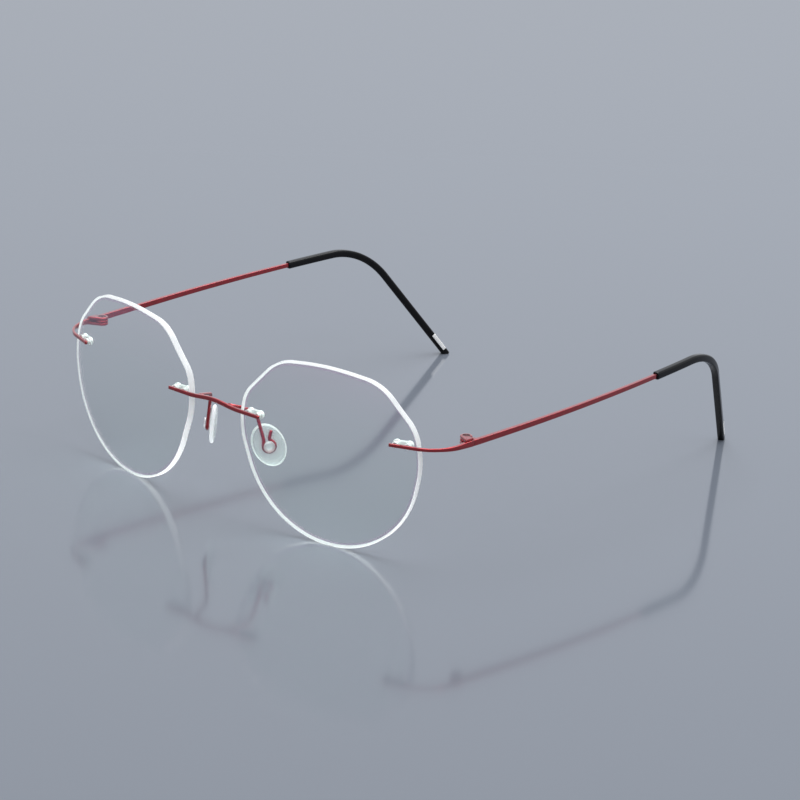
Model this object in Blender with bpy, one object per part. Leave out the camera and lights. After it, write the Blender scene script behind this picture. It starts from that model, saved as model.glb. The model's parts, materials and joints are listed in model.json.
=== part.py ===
"""Rimless eyeglasses at real size, in metres, +Z up.

The front faces -Y, the wearer's left is +X and the temples run back to +Y. The glasses stand open on
the lower edges of the lenses and the ends of the temple tips, at Z = 0, with X = 0 in the middle.
"""
import math

import bmesh
import bpy
from mathutils import Matrix, Vector

UP = Vector((0, 0, 1))
FIT = 0.00005  # play between two pieces that touch
ARC_STEP = math.radians(9)  # largest turn between two points of a rounded path
ROUND_SIDES = 20
FINE_ROUND_SIDES = 24
LARGEST_PLAIN_CAP = 12  # an end with more corners than this is capped from its middle
SHARP_ANGLE = math.radians(35)

# Lenses: a base curve wrapped back at the temples, with the top leaning forward
LENS_CENTRE = Vector((0.0368, -0.0728, 0.02558))
LENS_THICK = 0.0021
LENS_RADIUS = 0.125
LENS_WRAP = math.radians(9.9)
LENS_TILT = math.radians(1.7)
LENS_BOTTOM = -0.02575
LENS_OUTLINE_POINTS = 84
LENS_RING_SHARES = (0.3, 0.65, 1.0)
# Corners of the lens outline from its optical centre, temple side positive, each with its radius
LENS_CORNERS = (
    ((0.0222, LENS_BOTTOM), 0.026),
    ((0.02785, 0.001), 0.022),
    ((0.0264, 0.0103), 0.012),
    ((0.0159, 0.0212), 0.014),
    ((-0.0005, 0.0232), 0.070),
    ((-0.0161, 0.0213), 0.013),
    ((-0.0265, 0.0104), 0.009),
    ((-0.0279, 0.0014), 0.020),
    ((-0.0179, LENS_BOTTOM), 0.027),
)

# Compression mounts: two pins through two holes at each end of each lens
HOLE_SPACING = 0.0034
HOLE_FROM_TIP = 0.0014
HOLE_RADIUS = 0.0008
PIN_RADIUS = 0.00045
PIN_SIDES = 12
PLUG_BORE_RADIUS = PIN_RADIUS + FIT
PLUG_RADIUS = HOLE_RADIUS - FIT
BARREL_RADIUS = 0.00115
BARREL_LENGTH = 0.00095
WEB_THICK = 0.0006
WEB_TALL = 0.0016
TEMPLE_SIDE_MOUNT = Vector((0.02255, 0.0064))
NOSE_SIDE_MOUNT = Vector((-0.0232, 0.0053))

# Metal strips of the bridge and the end pieces
STRIP_THICK = 0.0007
STRIP_TALL = 0.00085
BRIDGE_TALL = 0.0011
BRIDGE_HALF_GAP = 0.0092
BRIDGE_RISE = 0.0008
BRIDGE_BOW = 0.0002
BRIDGE_STEPS = 12
EDGE_ROUND = 0.0002

# Hinges: the temple turns about a vertical screw just inside its strip
HINGE = Vector((0.0668, -0.0515, 0.0325))
HINGE_TO_STRIP = 0.00245
STRIP_DROP = 0.0002  # the strips lie this far under the middle of the hinge
KNUCKLE_RADIUS = 0.0016
KNUCKLE_THICK = 0.0007
LUG_THICK = 0.00075
GUSSET_LENGTH = 0.0028
STRIP_AT_HINGE_TALL = 0.0016
STRIP_AT_HINGE_THICK = 0.0011
END_PIECE_BEND = 0.010
GROWTH_START = 0.55  # share of the end piece where its strip starts to grow towards the hinge
GROWTH_SHARE = 0.4
END_PIECE_POINTS = 25
LUG_ARC_STEP = math.radians(12)
LUG_ARC_POINTS = 20
SCREW_RADIUS = 0.0005
SCREW_HEAD_RADIUS = 0.00095
SCREW_HEAD_TALL = 0.0004
SCREW_SLOT_WIDE = 0.00025
SCREW_SLOT_DEEP = 0.0002

# Temples: a flat strip with a slight outward bow, in a black tip that bends down behind the ear
BOW_WIDEST = Vector((0.0701, -0.0198))
BOW_CURVE = 0.9  # how sharply the bow curves, per metre
HINGE_BLEND = 0.010  # length over which the temple leaves the end piece's line for its bow
TEMPLE_SLOPE = 0.022
TEMPLE_END_TALL = 0.0011
TEMPLE_END_THICK = 0.00095
TEMPLE_POINTS = 24
TANG_LENGTH = 0.016
POCKET_LEAD = 0.001  # how far the cutter for the tang's pocket starts ahead of the tip
POCKET_POINTS = 10
TIP_START_Y = 0.0221
EAR_BEND_Y = 0.0505
EAR_BEND_RADIUS = 0.022
EAR_BEND_STEP = math.radians(6)
EAR_BEND_LEAD = 0.014  # straight length ahead of the ear bend's corner
TIP_STEPS = 4
LEG_STEPS = 5
TIP_END = Vector((0.0524, 0.0745, 0.0))
TIP_THICK = 0.0019
TIP_TALL = 0.0021
TIP_CORNER = 0.0005
FOOT_SINK = 0.0004  # how far the tip runs past the floor before its foot is cut flat
INLAY_LENGTH = 0.006
INLAY_DEEP = 0.0011
INLAY_FROM_END = 0.0046

# Nose pads, each on a wire arm that hooks round a grooved stud
PAD_CENTRE = Vector((0.0108, -0.0643, 0.0197))
PAD_SPLAY = math.radians(38)
PAD_LENGTHWISE = Vector((-0.34, -0.30, 0.89)).normalized()
PAD_HALF_LONG = 0.006
PAD_HALF_WIDE = 0.00425
PAD_HALF_THICK = 0.00095
PAD_LAYERS = 9
PAD_SIDES = 32
PAD_FULLNESS = 0.55  # below 1 the pad's rim is blunter than an ellipse
STUD_RADIUS = 0.001
STUD_SEAT = 0.0009
DISC_RADIUS = 0.0015
DISC_THICK = 0.0005
WIRE_RADIUS = 0.00045
WIRE_SIDES = 10
WIRE_BEND_STEP = math.radians(18)
ARM_ROOT_X = 0.0046
ARM_ROOT_RUN = 0.0015  # how far the wire follows the bridge before it turns back
ARM_ROOT_BEND = 0.001
ARM_KINK = Vector((0.0088, -0.0674, 0.0293))
ARM_KINK_BEND = 0.0011
ARM_FOOT_BEND = 0.004
HOOK_OPENING = math.radians(120)  # part of the hook's ring that is left open at the top
HOOK_CORNERS = 3
HOOK_SHARE = 0.999  # keeps the arcs of the hook's ring from meeting in one point
LEG_NECK = 0.0015  # straight between the ring and the bend of the arm's leg
FREE_NECK = 0.0011  # straight between the ring and the bend of the free end
FREE_BEND = 0.0007
FREE_END = (0.0023, 0.0036)

RED_LACQUER = ("red_lacquered_metal", "9C1C24", 0.28, 0.85)
BLACK_PLASTIC = ("black_tip_plastic", "101114", 0.30, 0.0)
CLEAR_LENS = ("clear_lens_resin", "DCEBEA", 0.03, 0.0)
CLEAR_NYLON = ("clear_nylon_plug", "F2F5F5", 0.15, 0.0)
SILICONE = ("clear_silicone_pad", "E9EEF3", 0.25, 0.0)
CORE_PLASTIC = ("clear_pad_core", "EEF0F2", 0.12, 0.0)
SCREW_STEEL = ("dark_screw_steel", "5A2A2C", 0.35, 1.0)
INLAY_METAL = ("bright_inlay_metal", "C9CCD0", 0.22, 1.0)


def clear_scene():
    for old in list(bpy.data.objects):
        bpy.data.objects.remove(old, do_unlink=True)


def channel(pair):
    """One sRGB hex pair as a linear value."""
    value = int(pair, 16) / 255
    return value / 12.92 if value <= 0.04045 else ((value + 0.055) / 1.055) ** 2.4


def material(look):
    name, colour, roughness, metallic = look
    made = bpy.data.materials.get(name)
    if made:
        return made
    made = bpy.data.materials.new(name)
    made.use_nodes = True
    shader = made.node_tree.nodes["Principled BSDF"]
    rgb = [channel(colour[i:i + 2]) for i in (0, 2, 4)]
    shader.inputs["Base Color"].default_value = (*rgb, 1)
    shader.inputs["Roughness"].default_value = roughness
    shader.inputs["Metallic"].default_value = metallic
    return made


def mirrored(point, side):
    return Vector((point.x * side, point.y, point.z))


def skin(name, rings, look, loop=False):
    """A closed object through rings of points: capped at both ends, or closed on itself like a tube."""
    shell = bmesh.new()
    rows = [[shell.verts.new(point) for point in ring] for ring in rings]
    pairs = list(zip(rows, rows[1:]))
    if loop:
        pairs.append((rows[-1], rows[0]))
    for near, far in pairs:
        for i, corner in enumerate(near):
            shell.faces.new((corner, near[i - 1], far[i - 1], far[i]))
    if not loop:
        caps = [shell.faces.new(rows[0]), shell.faces.new(rows[-1])]
        if len(rows[0]) > LARGEST_PLAIN_CAP:
            bmesh.ops.poke(shell, faces=caps)
    bmesh.ops.recalc_face_normals(shell, faces=shell.faces)
    mesh = bpy.data.meshes.new(name)
    shell.to_mesh(mesh)
    shell.free()
    mesh.materials.append(material(look))
    mesh.shade_smooth()
    mesh.set_sharp_from_angle(angle=SHARP_ANGLE)
    made = bpy.data.objects.new(name, mesh)
    bpy.context.scene.collection.objects.link(made)
    return made


def combine(base, tool, operation):
    """Joins a tool to a base, or cuts it out of it, and removes the tool."""
    step = base.modifiers.new(operation, "BOOLEAN")
    step.operation = operation
    step.solver = "EXACT"
    step.object = tool
    bpy.context.view_layer.update()
    graph = bpy.context.evaluated_depsgraph_get()
    result = bpy.data.meshes.new_from_object(base.evaluated_get(graph))
    base.modifiers.remove(step)
    base.data = result
    bpy.data.objects.remove(tool, do_unlink=True)


def cut_flat_at_floor(target):
    """Cuts away what is under Z = 0 and closes the cut with one flat face."""
    shell = bmesh.new()
    shell.from_mesh(target.data)
    everything = shell.verts[:] + shell.edges[:] + shell.faces[:]
    cut = bmesh.ops.bisect_plane(
        shell, geom=everything, plane_co=(0, 0, 0), plane_no=UP, clear_inner=True
    )
    edges = [item for item in cut["geom_cut"] if isinstance(item, bmesh.types.BMEdge)]
    bmesh.ops.holes_fill(shell, edges=edges)
    bmesh.ops.recalc_face_normals(shell, faces=shell.faces)
    shell.to_mesh(target.data)
    shell.free()


def set_origin(target, place):
    """Puts an object's origin on its joint without moving its shape."""
    target.data.transform(Matrix.Translation(-place))
    target.location = place


def filleted(corners, closed=False, step=ARC_STEP):
    """A path through corners, each with its radius, where every inner corner becomes an arc."""
    path = []
    for i, (here, radius) in enumerate(corners):
        if not closed and i in (0, len(corners) - 1):
            path.append(here)
            continue
        before = (corners[i - 1][0] - here).normalized()
        after = (corners[(i + 1) % len(corners)][0] - here).normalized()
        half = before.angle(after) / 2
        centre = here + (before + after).normalized() * radius / math.sin(half)
        spoke = here + before * radius / math.tan(half) - centre
        turn = math.pi - 2 * half
        count = max(1, math.ceil(turn / step))
        for k in range(count + 1):
            path.append(centre + Matrix.Rotation(turn * k / count, 3, after.cross(before)) @ spoke)
    return path


def evenly(path, count, closed=False):
    """The path again, as points at equal distances along it."""
    if closed:
        path = path + path[:1]
    along = [0.0]
    for near, far in zip(path, path[1:]):
        along.append(along[-1] + (far - near).length)
    spaces = count if closed else count - 1
    points = []
    leg = 0
    for k in range(count):
        goal = along[-1] * k / spaces
        while leg < len(path) - 2 and along[leg + 1] < goal:
            leg += 1
        share = (goal - along[leg]) / (along[leg + 1] - along[leg])
        points.append(path[leg].lerp(path[leg + 1], min(share, 1)))
    return points


def tangents(path):
    spans = [(far - near).normalized() for near, far in zip(path, path[1:])]
    inner = [(first + second).normalized() for first, second in zip(spans, spans[1:])]
    return [spans[0]] + inner + [spans[-1]]


def bar_ring(centre, along, thick, tall, corner):
    """A rounded rectangle round a path: thick to its sides and tall upwards."""
    across = along.cross(UP).normalized()
    upward = across.cross(along)
    ring = []
    for turn in range(4):
        start = turn * math.pi / 2
        way_x = 1 if turn in (0, 3) else -1
        way_y = 1 if turn in (0, 1) else -1
        for part in range(3):
            angle = start + part * math.pi / 4
            a = way_x * (thick / 2 - corner) + corner * math.cos(angle)
            b = way_y * (tall / 2 - corner) + corner * math.sin(angle)
            ring.append(centre + across * a + upward * b)
    return ring


def bar(name, path, look, thick, tall, corner):
    """A bar along a path. thick and tall are functions of the share of the length from 0 to 1."""
    last = len(path) - 1
    rings = [
        bar_ring(point, along, thick(i / last), tall(i / last), corner)
        for i, (point, along) in enumerate(zip(path, tangents(path)))
    ]
    return skin(name, rings, look)


def circle_ring(centre, axis, radius, count):
    side = axis.orthogonal().normalized()
    return [
        centre + Matrix.Rotation(math.tau * k / count, 3, axis) @ side * radius for k in range(count)
    ]


def turned(name, base, axis, profile, look, count=ROUND_SIDES, loop=False):
    """A turned piece. Its profile is a list of radius and height along the axis."""
    rings = [circle_ring(base + axis * height, axis, radius, count) for radius, height in profile]
    return skin(name, rings, look, loop)


def wire(name, path, radius, look):
    rings = []
    side = tangents(path)[0].orthogonal()
    for point, along in zip(path, tangents(path)):
        side = (side - along * side.dot(along)).normalized()
        other = along.cross(side)
        angles = [math.tau * k / WIRE_SIDES for k in range(WIRE_SIDES)]
        rings.append([point + (side * math.cos(a) + other * math.sin(a)) * radius for a in angles])
    return skin(name, rings, look)


def block(name, centre, axes, sizes, look):
    """A box with its own axes and full sizes."""
    a, b, c = (axis * size / 2 for axis, size in zip(axes, sizes))
    ends = [centre - a, centre + a]
    return skin(name, [[end + b + c, end + b - c, end - b - c, end - b + c] for end in ends], look)


def extruded(name, outline, low, high, look):
    rings = [[Vector((point.x, point.y, level)) for point in outline] for level in (low, high)]
    return skin(name, rings, look)


def lens_point(side, u, w, depth=0.0):
    """A point of a lens from its optical centre, u to the temple and w up, at a depth behind its front."""
    sag = (u * u + w * w) / (2 * LENS_RADIUS) + depth
    x = u * math.cos(LENS_WRAP) - sag * math.sin(LENS_WRAP)
    y = u * math.sin(LENS_WRAP) + sag * math.cos(LENS_WRAP)
    back = y * math.cos(LENS_TILT) - w * math.sin(LENS_TILT)
    rise = y * math.sin(LENS_TILT) + w * math.cos(LENS_TILT)
    return mirrored(LENS_CENTRE + Vector((x, back, rise)), side)


def mount_axes(side, mount):
    """The middle of a mount on the lens front, with its axes outward, forward and up."""
    nudge = 0.0001
    here = lens_point(side, mount.x, mount.y)
    outward = (lens_point(side, mount.x + nudge, mount.y) - here).normalized()
    upward = (lens_point(side, mount.x, mount.y + nudge) - here).normalized()
    forward = outward.cross(upward).normalized()
    if forward.y > 0:
        forward.negate()
    return here, outward, forward, upward


def pin_places(side, mount):
    here, outward, forward, upward = mount_axes(side, mount)
    return [here + outward * (HOLE_SPACING / 2 * way) for way in (-1, 1)], forward


def lens(side, name):
    corners = [(Vector((*spot, 0)), radius) for spot, radius in LENS_CORNERS]
    outline = evenly(filleted(corners, closed=True), LENS_OUTLINE_POINTS, closed=True)
    layers = [(share, 0.0) for share in LENS_RING_SHARES]
    layers += [(share, LENS_THICK) for share in reversed(LENS_RING_SHARES)]
    rings = [[lens_point(side, p.x * share, p.y * share, deep) for p in outline] for share, deep in layers]
    made = skin(name, rings, CLEAR_LENS)
    for mount in (TEMPLE_SIDE_MOUNT, NOSE_SIDE_MOUNT):
        spots, forward = pin_places(side, mount)
        for spot in spots:
            profile = ((HOLE_RADIUS, -2 * LENS_THICK), (HOLE_RADIUS, LENS_THICK))
            combine(made, turned("hole", spot, forward, profile, CLEAR_LENS), "DIFFERENCE")
    cut_flat_at_floor(made)


def plug(side, mount, name):
    """A clear double sleeve: two tubes through the lens with barrels behind it, joined by a web."""
    here, outward, forward, upward = mount_axes(side, mount)
    spots, forward = pin_places(side, mount)
    seat = LENS_THICK + 2 * FIT
    end = seat + BARREL_LENGTH
    profile = (
        (PLUG_BORE_RADIUS, -FIT),
        (PLUG_RADIUS, -FIT),
        (PLUG_RADIUS, -seat),
        (BARREL_RADIUS, -seat),
        (BARREL_RADIUS, -end + EDGE_ROUND),
        (BARREL_RADIUS - EDGE_ROUND, -end),
        (PLUG_BORE_RADIUS, -end),
    )
    made, other = [turned(name, spot, forward, profile, CLEAR_NYLON, loop=True) for spot in spots]
    combine(made, other, "UNION")
    wall = (BARREL_RADIUS + PLUG_BORE_RADIUS) / 2
    middle = here - forward * (seat + WEB_THICK / 2)
    sizes = (HOLE_SPACING - 2 * wall, WEB_THICK, WEB_TALL)
    combine(made, block("web", middle, (outward, forward, upward), sizes, CLEAR_NYLON), "UNION")


def add_pins(target, side, mount):
    """Joins a mount's two pins to the back of a strip."""
    spots, forward = pin_places(side, mount)
    end = LENS_THICK + BARREL_LENGTH
    for spot in spots:
        profile = ((PIN_RADIUS, -end), (PIN_RADIUS, FIT + STRIP_THICK / 2))
        combine(target, turned("pin", spot, forward, profile, RED_LACQUER, count=PIN_SIDES), "UNION")


def strip_middle(side, mount, outward_by):
    """A point on the centre line of the strip that lies on a mount."""
    here, outward, forward, upward = mount_axes(side, mount)
    return here + forward * (FIT + STRIP_THICK / 2) + outward * outward_by


def bridge_point(x):
    """The bridge's centre line over the nose, from one lens edge to the other."""
    tip = strip_middle(1, NOSE_SIDE_MOUNT, 0)
    swell = math.cos(math.pi / 2 * min(1, abs(x) / BRIDGE_HALF_GAP)) ** 2
    return Vector((x, tip.y - BRIDGE_BOW * swell, tip.z + BRIDGE_RISE * swell))


def bridge():
    reach = HOLE_SPACING / 2 + HOLE_FROM_TIP
    xs = [BRIDGE_HALF_GAP * (1 - 2 * k / BRIDGE_STEPS) for k in range(BRIDGE_STEPS + 1)]
    ends = [strip_middle(side, NOSE_SIDE_MOUNT, reach) for side in (1, -1)]
    path = [ends[0]] + [bridge_point(x) for x in xs] + [ends[1]]

    def tall(share):
        return STRIP_TALL + (BRIDGE_TALL - STRIP_TALL) * math.sin(math.pi * share)

    made = bar("bridge", path, RED_LACQUER, lambda share: STRIP_THICK, tall, EDGE_ROUND)
    for side in (1, -1):
        add_pins(made, side, NOSE_SIDE_MOUNT)


def strip_x():
    return HINGE.x + HINGE_TO_STRIP


def lug_outline(way):
    """A hinge plate seen from above: round about the screw, and tapering to the strip along Y by way."""
    reach = STRIP_AT_HINGE_THICK / 2
    start = Vector((strip_x(), HINGE.y + way * FIT, 0))
    arc = [LUG_ARC_STEP * k for k in range(LUG_ARC_POINTS)]
    spokes = [Vector((math.cos(angle), -way * math.sin(angle), 0)) for angle in arc]
    points = [Vector((HINGE.x, HINGE.y, 0)) + spoke * KNUCKLE_RADIUS for spoke in spokes]
    corner = Vector((strip_x() - reach / 2, HINGE.y + way * GUSSET_LENGTH, 0))
    foot = Vector((strip_x(), HINGE.y + way * GUSSET_LENGTH, 0))
    return [start] + points + [corner, foot]


def screw_hole():
    """The cutter for the screw's way through the lugs, with a recess for its head."""
    top = KNUCKLE_THICK / 2 + FIT + LUG_THICK
    floor = top - SCREW_HEAD_TALL - FIT
    hole = SCREW_RADIUS + FIT
    recess = SCREW_HEAD_RADIUS + FIT
    profile = ((hole, -2 * top), (hole, floor), (recess, floor), (recess, 2 * top))
    return turned("screw_hole", HINGE, UP, profile, RED_LACQUER, count=FINE_ROUND_SIDES)


def end_piece(side, name):
    reach = HOLE_SPACING / 2 + HOLE_FROM_TIP
    inner = strip_middle(1, TEMPLE_SIDE_MOUNT, -reach)
    outward = (strip_middle(1, TEMPLE_SIDE_MOUNT, reach) - inner).normalized()
    corner = inner + outward * ((strip_x() - inner.x) / outward.x)
    seam = Vector((strip_x(), HINGE.y - FIT, HINGE.z - STRIP_DROP))
    path = evenly(filleted([(inner, 0), (corner, END_PIECE_BEND), (seam, 0)]), END_PIECE_POINTS)

    def grow(share):
        return min(1, max(0, (share - GROWTH_START) / GROWTH_SHARE))

    def thick(share):
        return STRIP_THICK + (STRIP_AT_HINGE_THICK - STRIP_THICK) * grow(share)

    def tall(share):
        return STRIP_TALL + (STRIP_AT_HINGE_TALL - STRIP_TALL) * grow(share)

    made = bar(name, path, RED_LACQUER, thick, tall, EDGE_ROUND)
    add_pins(made, 1, TEMPLE_SIDE_MOUNT)
    outline = lug_outline(-1)
    for way in (-1, 1):
        levels = sorted(HINGE.z + way * (KNUCKLE_THICK / 2 + FIT + extra) for extra in (0, LUG_THICK))
        combine(made, extruded("lug", outline, *levels, RED_LACQUER), "UNION")
    combine(made, screw_hole(), "DIFFERENCE")
    place_on_side(made, side)


def place_on_side(made, side):
    """Mirrors a piece made on the +X side, if it belongs on the other side."""
    if side > 0:
        return
    made.data.transform(Matrix.Scale(-1, 4, (1, 0, 0)))
    made.data.flip_normals()


def screw(side, name):
    top = KNUCKLE_THICK / 2 + FIT + LUG_THICK
    neck = top - SCREW_HEAD_TALL
    profile = (
        (SCREW_RADIUS, -top),
        (SCREW_RADIUS, neck),
        (SCREW_HEAD_RADIUS, neck),
        (SCREW_HEAD_RADIUS, top - EDGE_ROUND / 2),
        (SCREW_HEAD_RADIUS - EDGE_ROUND, top),
    )
    centre = mirrored(HINGE, side)
    made = turned(name, centre, UP, profile, SCREW_STEEL, count=FINE_ROUND_SIDES)
    axes = (Vector((1, 0, 0)), Vector((0, 1, 0)), UP)
    sizes = (3 * SCREW_HEAD_RADIUS, SCREW_SLOT_WIDE, 2 * SCREW_SLOT_DEEP)
    combine(made, block("slot", centre + UP * top, axes, sizes, SCREW_STEEL), "DIFFERENCE")


def temple_point(y):
    """The centre line of a temple before its ear bend: bowed outward, and rising to the back."""
    x = BOW_WIDEST.x - BOW_CURVE * (y - BOW_WIDEST.y) ** 2
    return Vector((x, y, HINGE.z - STRIP_DROP + TEMPLE_SLOPE * (y - HINGE.y)))


def temple_path(start, end, count):
    """Part of the centre line, which leaves the hinge straight behind the end piece."""
    bow_at_hinge = temple_point(HINGE.y).x
    path = [temple_point(start + (end - start) * k / (count - 1)) for k in range(count)]
    for point in path:
        near = max(0, 1 - (point.y - HINGE.y) / HINGE_BLEND)
        point.x += (strip_x() - bow_at_hinge) * near
    return path


def tip_path():
    """The centre line of a temple tip: on along the temple, round the ear bend and down to the floor."""
    corner = temple_point(EAR_BEND_Y)
    down = (TIP_END - corner).normalized()
    foot = TIP_END + down * FOOT_SINK
    start = temple_point(EAR_BEND_Y - EAR_BEND_LEAD)
    bend = filleted([(start, 0), (corner, EAR_BEND_RADIUS), (foot, 0)], step=EAR_BEND_STEP)
    ahead = start.y - TIP_START_Y
    straight = [temple_point(TIP_START_Y + ahead * k / TIP_STEPS) for k in range(TIP_STEPS)]
    leg = [bend[-2].lerp(bend[-1], k / LEG_STEPS) for k in range(1, LEG_STEPS)]
    return straight + bend[:-1] + leg + bend[-1:]


def temple(side, name):
    start = HINGE.y + FIT
    end = TIP_START_Y + TANG_LENGTH
    path = temple_path(start, end, TEMPLE_POINTS)

    def thick(share):
        return STRIP_AT_HINGE_THICK + (TEMPLE_END_THICK - STRIP_AT_HINGE_THICK) * share

    def tall(share):
        return STRIP_AT_HINGE_TALL + (TEMPLE_END_TALL - STRIP_AT_HINGE_TALL) * share

    made = bar(name, path, RED_LACQUER, thick, tall, EDGE_ROUND)
    outline = lug_outline(1)
    levels = (HINGE.z - KNUCKLE_THICK / 2, HINGE.z + KNUCKLE_THICK / 2)
    combine(made, extruded("knuckle", outline, *levels, RED_LACQUER), "UNION")
    combine(made, screw_hole(), "DIFFERENCE")
    place_on_side(made, side)
    set_origin(made, mirrored(HINGE, side))


def inlay_block(name, grow):
    """The bright inlay across the rear of a tip's last stretch, or the larger notch that it sits in."""
    path = tip_path()
    along = (path[-1] - path[-2]).normalized()
    across = along.cross(UP).normalized()
    upward = across.cross(along)
    floor = TIP_TALL / 2 - INLAY_DEEP - grow
    top = TIP_TALL if grow else TIP_TALL / 2
    wide = 2 * TIP_THICK if grow else TIP_THICK
    centre = TIP_END - along * INLAY_FROM_END + upward * (floor + top) / 2
    sizes = (INLAY_LENGTH + 2 * grow, wide, top - floor)
    return block(name, centre, (along, across, upward), sizes, INLAY_METAL)


def tip(side, name):
    made = bar(name, tip_path(), BLACK_PLASTIC, lambda share: TIP_THICK, lambda share: TIP_TALL, TIP_CORNER)
    start = TIP_START_Y - POCKET_LEAD
    pocket_path = temple_path(start, TIP_START_Y + TANG_LENGTH + 2 * FIT, POCKET_POINTS)
    pocket = bar(
        "pocket",
        pocket_path,
        BLACK_PLASTIC,
        lambda share: STRIP_AT_HINGE_THICK + 2 * FIT,
        lambda share: TEMPLE_END_TALL + 6 * FIT,
        EDGE_ROUND,
    )
    combine(made, pocket, "DIFFERENCE")
    combine(made, inlay_block("inlay_pocket", FIT), "DIFFERENCE")
    cut_flat_at_floor(made)
    place_on_side(made, side)
    set_origin(made, mirrored(HINGE, side))


def inlay(side, name):
    made = inlay_block(name, 0)
    place_on_side(made, side)
    set_origin(made, mirrored(HINGE, side))


def pad_axes():
    """A nose pad's axes on the +X side: backward across it, up along it and out to the lens."""
    flat = Vector((math.cos(PAD_SPLAY), -math.sin(PAD_SPLAY), 0))
    lateral = (flat - PAD_LENGTHWISE * flat.dot(PAD_LENGTHWISE)).normalized()
    across = PAD_LENGTHWISE.cross(lateral).normalized()
    if across.y < 0:
        across.negate()
    return across, PAD_LENGTHWISE, lateral


def pad_place(a, b, c):
    across, upward, lateral = pad_axes()
    return PAD_CENTRE + across * a + upward * b + lateral * c


def pad(side, name):
    """A soft oval pad with a round seat for its stud."""
    rings = []
    for k in range(1, PAD_LAYERS):
        angle = math.pi * k / PAD_LAYERS
        wide = math.sin(angle) ** PAD_FULLNESS
        high = -math.cos(angle) * PAD_HALF_THICK
        turns = [math.tau * i / PAD_SIDES for i in range(PAD_SIDES)]
        rings.append([
            pad_place(PAD_HALF_WIDE * wide * math.cos(t), PAD_HALF_LONG * wide * math.sin(t), high)
            for t in turns
        ])
    made = skin(name, rings, SILICONE)
    lateral = pad_axes()[2]
    hole = STUD_RADIUS + FIT
    profile = ((hole, PAD_HALF_THICK - STUD_SEAT - FIT), (hole, 2 * PAD_HALF_THICK))
    combine(made, turned("seat", PAD_CENTRE, lateral, profile, SILICONE), "DIFFERENCE")
    place_on_side(made, side)
    set_origin(made, mirrored(PAD_CENTRE, side))


def groove_level():
    """The height of the hook's wire over the middle of the pad."""
    return PAD_HALF_THICK + FIT + WIRE_RADIUS


def stud(side, name):
    lateral = pad_axes()[2]
    disc = groove_level() + WIRE_RADIUS + FIT
    profile = (
        (STUD_RADIUS, PAD_HALF_THICK - STUD_SEAT),
        (STUD_RADIUS, disc),
        (DISC_RADIUS, disc),
        (DISC_RADIUS, disc + DISC_THICK - EDGE_ROUND),
        (DISC_RADIUS - EDGE_ROUND, disc + DISC_THICK),
    )
    made = turned(name, PAD_CENTRE, lateral, profile, CORE_PLASTIC, count=FINE_ROUND_SIDES)
    place_on_side(made, side)
    set_origin(made, mirrored(PAD_CENTRE, side))


def neck_place(half, way, run):
    """A place on the straight that leaves the hook's ring of radius half, on its way side, for its neck."""
    angle = HOOK_OPENING / 2
    a = way * (half * math.sin(angle) - run * math.cos(angle))
    return pad_place(a, half * math.cos(angle) + run * math.sin(angle), groove_level())


def hook_corners():
    """The hook's corners from the arm's leg round the stud to the flared free end, with their radii."""
    half = STUD_RADIUS + FIT + WIRE_RADIUS
    sweep = (math.tau - HOOK_OPENING) / HOOK_CORNERS
    start = (math.pi + HOOK_OPENING) / 2
    angles = [start + sweep * (k + 0.5) for k in range(HOOK_CORNERS)]
    reach = half / math.cos(sweep / 2)
    ring = [pad_place(reach * math.cos(a), reach * math.sin(a), groove_level()) for a in angles]
    leg = [(neck_place(half, -1, LEG_NECK), ARM_FOOT_BEND)]
    free = [(neck_place(half, 1, FREE_NECK), FREE_BEND), (pad_place(*FREE_END, groove_level()), 0)]
    return leg + [(corner, half * HOOK_SHARE) for corner in ring] + free


def pad_arm(side, name):
    """A wire brazed to the back of the bridge, bent down behind the lens and hooked round the stud."""
    root = bridge_point(ARM_ROOT_X)
    root.y += STRIP_THICK / 2 + FIT + WIRE_RADIUS
    leave = root + Vector((ARM_ROOT_RUN, 0, 0))
    corners = [
        (root, 0),
        (leave, ARM_ROOT_BEND),
        (ARM_KINK, ARM_KINK_BEND),
    ]
    corners += hook_corners()
    made = wire(name, filleted(corners, step=WIRE_BEND_STEP), WIRE_RADIUS, RED_LACQUER)
    place_on_side(made, side)


def main():
    clear_scene()
    bridge()
    for side, word in ((1, "left"), (-1, "right")):
        lens(side, word + "_lens")
        plug(side, TEMPLE_SIDE_MOUNT, word + "_temple_side_plug")
        plug(side, NOSE_SIDE_MOUNT, word + "_nose_side_plug")
        end_piece(side, word + "_end_piece")
        screw(side, word + "_hinge_screw")
        temple(side, word + "_temple")
        tip(side, word + "_temple_tip")
        inlay(side, word + "_tip_inlay")
        pad_arm(side, word + "_pad_arm")
        pad(side, word + "_nose_pad")
        stud(side, word + "_pad_stud")


main()
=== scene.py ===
import json
import math

import bpy
import numpy as np
from mathutils import Matrix, Vector


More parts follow.
